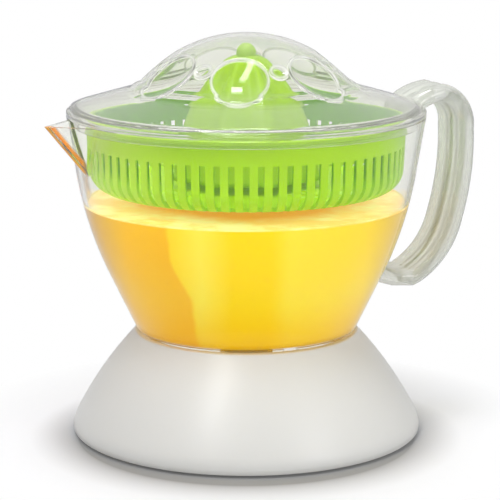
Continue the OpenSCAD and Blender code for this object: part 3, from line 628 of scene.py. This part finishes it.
def jug_body():
    """Jug wall, floor and chimney as one sheet, drawn out to the spout and then given its wall."""
    tube_r, tube_z = CHIMNEY_R - 1.9, JUG_Z + 24
    chimney = joined([(CHIMNEY_R + 3.4, JUG_Z), (CHIMNEY_R + 1.4, JUG_Z)],
                     straight((CHIMNEY_R + 1.2, JUG_Z + 1), (tube_r, tube_z), 6),
                     straight((tube_r, tube_z), (tube_r, CHIMNEY_TOP), 6))
    bm = bmesh.new()
    revolve(bm, jug_line()[::-1] + chimney, 180)
    merge_doubles(bm)

    def by_spout(place, half_w, low):
        return place.x < -55 * MM and abs(place.y) <= half_w * MM and place.z >= low * MM

    cuts = edges_of(f for f in bm.faces
                    if by_spout(f.calc_center_median(), SPOUT_HALF_W + 8, SPOUT_ROOT_Z - 8))
    bmesh.ops.subdivide_edges(bm, edges=cuts, cuts=3, use_grid_fill=True)
    for vert in bm.verts:
        if by_spout(vert.co, SPOUT_HALF_W + 10, SPOUT_ROOT_Z - 6):
            vert.co.x = min(vert.co.x, -spout_reach(vert.co.y / MM, vert.co.z / MM) * MM)
    turned_out(bm)
    bmesh.ops.solidify(bm, geom=bm.faces[:], thickness=JUG_WALL * MM)
    for vert in bm.verts:
        vert.co.z = min(vert.co.z, RIM_Z * MM)
    return finished(bm, "jug_shell", sharp=50)


def jug_foot():
    """Foot ring under the jug, with gaps over the seat's keys."""
    bm = bmesh.new()
    outline = rounded([(SEAT_R - 0.4, JUG_Z + 0.6), (SEAT_R - 0.4, SEAT_Z + 0.3), (SEAT_R - 2.8, SEAT_Z + 0.3),
                       (SEAT_R - 2.8, JUG_Z + 0.6)], 0.4, 2, loop=True)
    half_gap = 4.2
    for turn in KEY_TURNS:
        verts = upright(bm, outline)
        turn_points(bm, verts, math.radians(turn + half_gap))
        spin(bm, [bm.faces.new(verts)], math.radians(120 - 2 * half_gap), 40)
    return finished(bm, "jug_foot_ring")


def handle_line():
    """The middle of the handle's band, from the rim over the crest and down the grip to the jug's side."""
    crest, grip_top = (GRIP_X - 13, 151.6), (GRIP_X - 0.3, 134)
    grip_low, heel = (GRIP_X - 5.4, 92), (82, 64.6)
    return joined(arc((79, 143.6), crest, 30, 8), arc(crest, grip_top, 16.5, 14),
                  arc(grip_top, grip_low, 120, 14), arc(grip_low, heel, 40, 14), [heel, (72, 65.6), (58, 70)])


def band_section():
    """Across the handle's band: flutes on both faces, round edges."""
    half, points = HANDLE_W / 2, []
    steps = 40
    for side in (1, -1):
        for i in range(steps + 1):
            across = side * half * (1 - 2 * i / steps)
            edge = min(1.0, (half - abs(across)) / EDGE_ROUND)
            wave = 0.5 + 0.5 * math.cos(math.tau * across / (HANDLE_W / FLUTES))
            thick = (HANDLE_T / 2 - FLUTE * (1 - wave)) * math.sqrt(max(0.0, 1 - (1 - edge) ** 2))
            points.append((across, side * thick))
        points.pop()
    return points


def handle_band():
    """The band drawn along its line; its ends are pushed out of the jug's inside."""
    line = [Vector((x, z)) for x, z in handle_line()]
    section = band_section()
    bm = bmesh.new()

    def station(i):
        ahead = (line[min(i + 1, len(line) - 1)] - line[max(i - 1, 0)]).normalized()
        out = Vector((-ahead.y, ahead.x))
        return [Vector(((line[i].x + out.x * t) * MM, w * MM, (line[i].y + out.y * t) * MM)) for w, t in section]

    face = bm.faces.new([bm.verts.new(co) for co in station(0)])
    for i in range(1, len(line)):
        face = bmesh.ops.extrude_discrete_faces(bm, faces=[face])["faces"][0]
        for vert, co in zip(face.verts, station(i)):
            vert.co = co
    bmesh.ops.holes_fill(bm, edges=[e for e in bm.edges if len(e.link_faces) == 1])
    for vert in bm.verts:
        x, y, z = (c / MM for c in vert.co)
        wall = wall_radius(z) - 1.0
        if math.hypot(x, y) < wall:
            vert.co.x = math.sqrt(max(0, wall * wall - y * y)) * MM
    return finished(bm, "handle_band", sharp=60)


def wall_radius(z):
    """Outer radius of the jug at a height."""
    line = jug_line()
    for (r0, z0), (r1, z1) in zip(line, line[1:]):
        if z0 <= z <= z1:
            return r0 + (r1 - r0) * (z - z0) / max(1e-6, z1 - z0)
    return RIM_R if z > RIM_Z else JUG_BOTTOM_R


def juice_body():
    """The jug's filling, with its edge drawn up a little at the wall."""
    inside = [(r - 0.9, z) for r, z in jug_line() if JUG_Z + JUG_WALL + 1 < z < JUICE_Z - 1]
    level_r = wall_radius(JUICE_Z) - 0.9
    line = joined([(CHIMNEY_R + 2.6, JUG_Z + JUG_WALL - 0.6), (inside[0][0] - 3, JUG_Z + JUG_WALL - 0.6)],
                  inside, [(level_r, JUICE_Z + 0.5), (level_r - 1.2, JUICE_Z + 0.05), (level_r - 3, JUICE_Z)],
                  [(CHIMNEY_R + 3, JUICE_Z), (CHIMNEY_R + 0.2, JUICE_Z + 0.4), (CHIMNEY_R - 0.2, JUG_Z + 24),
                   (CHIMNEY_R + 2.4, JUG_Z + 8)])
    bm = bmesh.new()
    revolve(bm, line, 128, closed=True)
    return finished(bm, "orange_juice", sharp=60)


def strainer_line():
    """Closed outline of the strainer from its collar tube out over the rim and back."""
    middle = (STRAINER_R - 1 - STRAINER_CORNER, STRAINER_BOTTOM + STRAINER_CORNER)
    turns = [math.radians(90 * i / 8) for i in range(9)]

    def corner(radius):
        return [(middle[0] + radius * math.sin(a), middle[1] - radius * math.cos(a)) for a in turns]

    def side(z, inward=0.0):
        return (STRAINER_R - 1 + (z - middle[1]) / (STRAINER_TOP - middle[1]) - inward, z)

    rows = (127, SLOT_TOP, 138, 142.6)
    top, low = CHIMNEY_TOP + 0.3, STRAINER_BOTTOM - 8
    tube_in, tube_out, neck = CHIMNEY_R + 0.3, CHIMNEY_R + 2.2, 6.0
    outside = corner(STRAINER_CORNER) + [side(z) for z in rows]
    inside = corner(STRAINER_CORNER - STRAINER_WALL) + [side(z, STRAINER_WALL) for z in rows]
    bead = [side(143, -0.9), side(144.2, -0.9), side(STRAINER_TOP, -0.3), side(STRAINER_TOP, STRAINER_WALL - 0.4),
            side(144, STRAINER_WALL)]
    tube = [(tube_out, STRAINER_BOTTOM + STRAINER_WALL), (tube_out, top + 1.2), (neck, top + 1.2), (neck, top),
            (tube_in, top), (tube_in, low), (tube_out, low), (tube_out, STRAINER_BOTTOM)]
    return outside + bead + inside[::-1] + tube


def strainer_bowl():
    """One sector with its slot, copied all round."""
    line = strainer_line()
    pitch = math.tau / SLOTS
    slot = SLOT_W / (STRAINER_R - 4)
    slot_start = STRAINER_R - 1 - STRAINER_CORNER - 0.1
    bm = bmesh.new()
    verts = upright(bm, line)
    strip = verts + [bm.edges.new(pair) for pair in zip(verts, verts[1:] + verts[:1])]
    turn_points(bm, verts, -pitch / 2)
    for width in ((pitch - slot) / 2, slot, (pitch - slot) / 2):
        strip = spin(bm, strip, width, 1)["geom_last"]

    def in_slot(verts):
        return all(abs(math.atan2(v.co.y, v.co.x)) < slot / 2 + 1e-4 and v.co.z / MM < SLOT_TOP + 0.01
                   and v.co.xy.length / MM > slot_start for v in verts)

    bmesh.ops.delete(bm, geom=[f for f in bm.faces if in_slot(f.verts)], context="FACES")
    rims = [e for e in bm.edges if len(e.link_faces) == 1 and in_slot(e.verts)]
    bmesh.ops.bridge_loops(bm, edges=rims)
    spin(bm, bm.verts[:] + bm.edges[:] + bm.faces[:], math.tau - pitch, SLOTS - 1, use_duplicate=True)
    bmesh.ops.remove_doubles(bm, verts=bm.verts[:], dist=0.01 * MM)
    return finished(bm, "strainer_bowl", sharp=30)


def cone_line():
    """The large cone's outside, from its crown to its foot."""
    crown = (NUB_R + 1, CONE_TOP)
    knee = (CONE_R * 0.35, CONE_TOP - 4.1)
    return joined(arc(crown, knee, 14, 6), arc(knee, (CONE_R, CONE_Z), CONE_BOW_R, 24))


def reamer_cone():
    """Large cone: eight round-backed ribs that fade towards the crown."""
    bm = bmesh.new()
    revolve(bm, [(NUB_R + 0.5, CONE_TOP - 2.4), (NUB_R + 0.6, CONE_TOP - 0.2)] + cone_line(), 192)
    for vert in bm.verts:
        x, y, z = (c / MM for c in vert.co)
        r = math.hypot(x, y)
        turn = (math.atan2(y, x) - math.radians(CONE_TURN)) * CONE_RIBS - math.pi
        share = min(1.0, max(0.0, (r - NUB_R - 1) / 12))
        dip = RIB_DEPTH * share * (1 - (0.5 + 0.5 * math.cos(turn)) ** 1.4)
        vert.co.xy *= (r - dip) / r
    return thickened(finished(bm, "reamer_large_cone", sharp=0), CONE_WALL)


def nub_cone():
    """Small cone: a round nub through the large cone's crown, on a hollow flank."""
    turns = [math.radians(9 * i) for i in range(11)]
    tip = [(NUB_R * math.sin(a) + 0.001, NUB_TOP - NUB_R * (1 - math.cos(a))) for a in turns]
    roof_z, foot_z = CONE_TOP - 22, CONE_Z + 0.4
    flank = arc((NUB_R + 3, CONE_TOP - 4.6), (NUB_FOOT_R, foot_z), NUB_BOW_R, 12)
    inner = arc((6, roof_z), (NUB_FOOT_R - 2, foot_z), 80, 10)
    line = joined(tip, [(NUB_R, CONE_TOP - 2.6), (NUB_R + 2.6, CONE_TOP - 2.6)], flank, inner[::-1],
                  [(0.001, roof_z)])
    bm = bmesh.new()
    revolve(bm, line, 64)
    return finished(bm, "reamer_small_cone", sharp=40)


def lid_line():
    """The lid's outside, from the skirt's lower edge over the flare to the top of the dome."""
    centre_z = DOME_TOP - DOME_R
    start = (47.6, centre_z + math.sqrt(DOME_R ** 2 - 47.6 ** 2))
    foot = (DOME_FOOT[0] + 1.6, DOME_FOOT[1] - 0.5)
    edge = (RIM_R - 1.8, LID_EDGE_Z + 0.5)
    skirt = joined([(RIM_R, LID_Z), (RIM_R, LID_EDGE_Z - 1.4)], arc((RIM_R, LID_EDGE_Z - 1.4), edge, 2.2, 5))
    blend = arc(start, foot, 9, 8)[::-1]
    tilt = math.asin(start[0] / DOME_R)
    rows = 56
    dome = [(DOME_R * math.sin(tilt * (1 - i / rows)), centre_z + DOME_R * math.cos(tilt * (1 - i / rows)))
            for i in range(1, rows + 1)]
    dome[-1] = (0.001, dome[-1][1])
    return joined(skirt, straight(edge, foot, 8), blend, dome)


def scoops(radius, depth, ring_r, turn):
    """Spheres, as centre and radius, that scoop a ring of hollows whose rims lie on the dome."""
    size = (radius ** 2 + depth ** 2) / 2 / depth
    reach = math.sqrt(DOME_R ** 2 - radius ** 2) + math.sqrt(size ** 2 - radius ** 2)
    tilt = math.asin(ring_r / DOME_R)
    turns = [math.radians(turn + i * 360 / HOLLOWS) for i in range(HOLLOWS)]
    return [(Vector((reach * math.sin(tilt) * math.cos(a), reach * math.sin(tilt) * math.sin(a),
                     DOME_TOP - DOME_R + reach * math.cos(tilt))), size) for a in turns]


def lid_shell():
    """Lid with its flare and dome; the dome's points sink to the scooped hollows with a soft rim."""
    bm = bmesh.new()
    revolve(bm, lid_line(), 252)
    merge_doubles(bm)
    spots = (scoops(HOLLOW_R, HOLLOW_DEPTH, HOLLOW_RING_R, HOLLOW_TURN)
             + scoops(PIT_R, PIT_DEPTH, PIT_RING_R, HOLLOW_TURN + 180 / HOLLOWS))
    middle = Vector((0, 0, DOME_TOP - DOME_R))
    # painted highlight: how near each point lies to a hollow's rim, read by the lid's material
    rim_highlight_share = bm.verts.layers.float.new(RIM_HIGHLIGHT_LAYER)
    foot_z = DOME_FOOT[1] - 2

    def from_rim(place):
        return min(abs((place - spot).length - size) for spot, size in spots)

    rims = edges_of(f for f in bm.faces if f.calc_center_median().z > foot_z * MM
                    and from_rim(f.calc_center_median() / MM) < 0.9)
    bmesh.ops.subdivide_edges(bm, edges=rims, cuts=2, use_grid_fill=True)
    for vert in bm.verts:
        place = vert.co / MM
        if place.z < foot_z:
            continue
        radius = (place - middle).length
        ray = (place - middle) / radius
        for spot, size in spots:
            along = ray.dot(spot - middle)
            off = (spot - middle).length_squared - along * along
            if along < 0 or off > size * size:
                continue
            hollow = along - math.sqrt(size * size - off)
            near = max(HOLLOW_RIM - abs(radius - hollow), 0) / HOLLOW_RIM
            vert[rim_highlight_share] = max(vert[rim_highlight_share], near)
            radius = min(radius, hollow) - near * near * HOLLOW_RIM / 4
        vert.co = (middle + ray * radius) * MM
    return thickened(finished(bm, "lid_shell", sharp=60), LID_WALL)


def lid_ring():
    """The ring that holds the lid inside the rim."""
    ring_r = RIM_R - JUG_WALL - 1.1
    bm = bmesh.new()
    revolve(bm, rounded([(ring_r, RIM_Z - 4), (ring_r, LID_EDGE_Z - 0.6), (ring_r - 1.5, LID_EDGE_Z - 0.6),
                         (ring_r - 1.5, RIM_Z - 4)], 0.4, 2, loop=True), 180, closed=True)
    return finished(bm, "lid_ring")


def return_coil(low, high):
    """The spring under the shaft's flange, wound as one wire between the corners of its box."""
    steps = COIL_TURNS * 24
    middle_r = high[0] - COIL_WIRE * MM
    rise = (high[2] - low[2] - 2 * COIL_WIRE * MM) / steps
    bm = bmesh.new()
    start = Matrix.Translation((middle_r, 0, low[2] + COIL_WIRE * MM)) @ Matrix.Rotation(math.radians(90), 4, "X")
    bmesh.ops.create_circle(bm, cap_ends=True, segments=10, radius=COIL_WIRE * MM, matrix=start)
    spin(bm, bm.faces[:], math.tau * COIL_TURNS, steps, dvec=(0, 0, rise))
    return finished(bm, "return_coil", sharp=60)


def paint(obj, material):
    if obj.material_slots:
        for slot in obj.material_slots:
            slot.material = material
    else:
        obj.data.materials.append(material)


def add_piece(obj, material, body, slot, *nodes):
    paint(obj, material)
    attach(obj, body)
    if nodes:
        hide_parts(*nodes)
    return obj


# The jug's plastic carries the painted juice colour on its keel and edge.
CLEAR = clear_plastic("clear_plastic", (0.97, 0.97, 0.95), (0.5, 0.49, 0.44), coat=0.35, painted_juice=True)
# The lid's skin carries a painted highlight on the hollows' rims.
CLEAR_LID = clear_plastic("clear_lid_plastic", (0.9, 0.9, 0.87), (0.72, 0.72, 0.69), thin=0.02, coat=0.5,
                          shade=0.75, rims=0.6)
CLEAR_HANDLE = clear_plastic("clear_handle_plastic", (0.92, 0.925, 0.9), (0.58, 0.6, 0.54), thin=0.35,
                             dense=0.8, bend=1.2, flow=(0.6, 12, 0.6))

add_piece(base_shell(), glossy_white(), "base", "white_plastic", "base_housing")
add_piece(jug_body(), CLEAR, "jug_body", "clear_plastic", "jug")
add_piece(jug_foot(), CLEAR, "jug_body", "clear_plastic")
add_piece(handle_band(), CLEAR_HANDLE, "jug_body", "clear_plastic", "jug_handle")
add_piece(juice_body(), juice(), "jug_body", "clear_plastic")
# Green plastics: deep and bright colours, share of light passed through, strength of the painted glow; the bowl adds
# painted shade and a painted highlight.
STRAINER_GREEN = green_plastic("strainer_green", (0.4, 0.7, 0.0), (0.48, 0.78, 0.0), 0.3, 0.12, bowl=True)
CONE_GREEN = green_plastic("reamer_green", (0.26, 0.46, 0.0), (0.32, 0.54, 0.0), 0.15, 0.2)
add_piece(strainer_bowl(), STRAINER_GREEN, "strainer_body", "green_plastic", "strainer")
add_piece(reamer_cone(), CONE_GREEN, "reamer", "green_cone_plastic", "large_cone")
add_piece(nub_cone(), CONE_GREEN, "reamer", "green_cone_plastic", "small_cone")
add_piece(lid_shell(), CLEAR_LID, "lid_body", "clear_plastic", "lid")
add_piece(lid_ring(), CLEAR_LID, "lid_body", "clear_plastic")

STEEL = drawn_metal("drawn_steel", (0.62, 0.63, 0.65), 0.22)
BRONZE = drawn_metal("bronze", (0.62, 0.4, 0.16), 0.3)
IVORY = plain_plastic("ivory_plastic", (0.78, 0.74, 0.62))
GREY = plain_plastic("grey_plastic", (0.5, 0.51, 0.51))
RUBBER = soft_rubber("foot_rubber", (0.03, 0.03, 0.033))

coil_low, coil_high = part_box("return_spring")
coil = add_piece(return_coil(coil_low, coil_high), STEEL, "base", "steel", "return_spring")
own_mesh(coil)

FINISH_OF = {
    "base_plate": GREY, "gear_plate": GREY, "rubber_feet": RUBBER, "cord_gland": RUBBER,
    "shaft_seal": soft_rubber("seal_rubber", (0.012, 0.012, 0.012)),
    "base_screws": STEEL, "rotor_shaft": STEEL, "rotor_bracket": STEEL, "motor_screws": STEEL,
    "gear_plate_screws": STEEL, "gear_pin": STEEL, "drive_shaft": STEEL,
    "terminal_block": IVORY, "coil_bobbin": IVORY, "intermediate_gear": IVORY, "output_gear": IVORY,
    "rotor_pinion": BRONZE, "lower_bush": BRONZE, "upper_bush": BRONZE,
    "stator_core": stacked_sheets(), "coil_winding": wound_wire(),
    "rotor_magnet": soft_rubber("sintered_magnet", (0.035, 0.035, 0.038)),
    "start_switch": plain_plastic("black_plastic", (0.02, 0.02, 0.022)),
    "switch_plunger": plain_plastic("red_plastic", (0.5, 0.02, 0.015), 0.3)}
for node_name, finish in FINISH_OF.items():
    paint(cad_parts[node_name], finish)


# ---------- floor, light and camera ----------

def pale_floor():
    """White floor that keeps the object's own shadow, with a painted contact shadow round the base, and melts into
    the white room farther off.
    """
    f = new_finish("pale_floor")
    # painted shadow: a dark ring on the floor round the base, its middle drawn a little towards the eye
    under = f.fade(f.away_from(seen_from_eye(0, 12, 0)), 0.077, 0.099) ** 0.5
    tone = f.mix(f.noise(3, 2), (0.78, 0.8, 0.86), (0.79, 0.81, 0.87))
    plain = f.surface(Base_Color=f.mix(under, (0.25, 0.25, 0.25), tone), Roughness=0.8)
    lifted = f.node("ShaderNodeAddShader", {}, plain, f.node("ShaderNodeEmission", {}, WHITE, FLOOR_LIFT))
    white = f.node("ShaderNodeEmission", {}, WHITE, 1.0)
    seen = f.blend(f.fade(f.away_from((0, 0, 0)), 0.088, 0.14), lifted, white)
    return f.done(f.blend(f.ray_is("camera").at_least(f.ray_is("transmission")), plain, seen))


def floor():
    bm = bmesh.new()
    bmesh.ops.create_circle(bm, cap_ends=True, segments=64, radius=6.0)
    obj = finished(bm, "floor", sharp=0)
    paint(obj, pale_floor())


def sky():
    """White room: full white where it is seen, softer as a light, dim on the eye's own side in gloss."""
    world = bpy.data.worlds.new("white_room")
    bpy.context.scene.world = world
    f = Shader(world, "World")
    light, gloss, seen = [f.node("ShaderNodeBackground", {}, WHITE, strength) for strength in (
        f.number(f.along(EYE_LEFT), ROOM_LIGHT, DIM_ROOM_LIGHT, 0.45, 0.9),
        f.number(f.along(TO_EYE_AND_UP), 0.6, 0.12, 0.25, 0.8), 1.0)]
    unseen = f.blend(f.ray_is("glossy"), light, gloss)
    f.done(f.blend(f.ray_is("camera").at_least(f.ray_is("transmission")), unseen, seen))


def lamp(name, azimuth, height, distance, size, watts):
    data = bpy.data.lights.new(name, "AREA")
    data.shape = "RECTANGLE"
    data.size, data.size_y = size
    data.energy = watts
    obj = bpy.data.objects.new(name, data)
    turn = math.radians(azimuth)
    obj.location = (distance * math.sin(turn), -distance * math.cos(turn), height)
    aim = Vector((0, 0, 0.1)) - obj.location
    obj.rotation_euler = aim.to_track_quat("-Z", "Y").to_euler()
    bpy.context.scene.collection.objects.link(obj)


def eye():
    """Camera 907 mm from the object's axis and 274 mm above its feet."""
    data = bpy.data.cameras.new("eye")
    data.sensor_width = 36
    data.lens = 145.85
    data.shift_x = 0.0074
    obj = bpy.data.objects.new("eye", data)
    turn = math.radians(EYE_TURN)
    obj.location = (0.9071 * math.sin(turn), -0.9071 * math.cos(turn), 0.2736)
    obj.rotation_euler = (math.radians(90 - 11.85), 0, turn)
    bpy.context.scene.collection.objects.link(obj)
    bpy.context.scene.camera = obj


floor()
sky()
lamp("tall_strip", EYE_TURN - 31, 1.12, 0.64, (0.2, 0.9), 7.0)
lamp("right_panel", EYE_TURN + 50, 0.55, 1.1, (0.4, 0.6), 2.6)
lamp("overhead", EYE_TURN + 180, 1.25, 0.2, (0.25, 0.25), 4.0)
eye()
bpy.context.scene.view_settings.view_transform = "Standard"
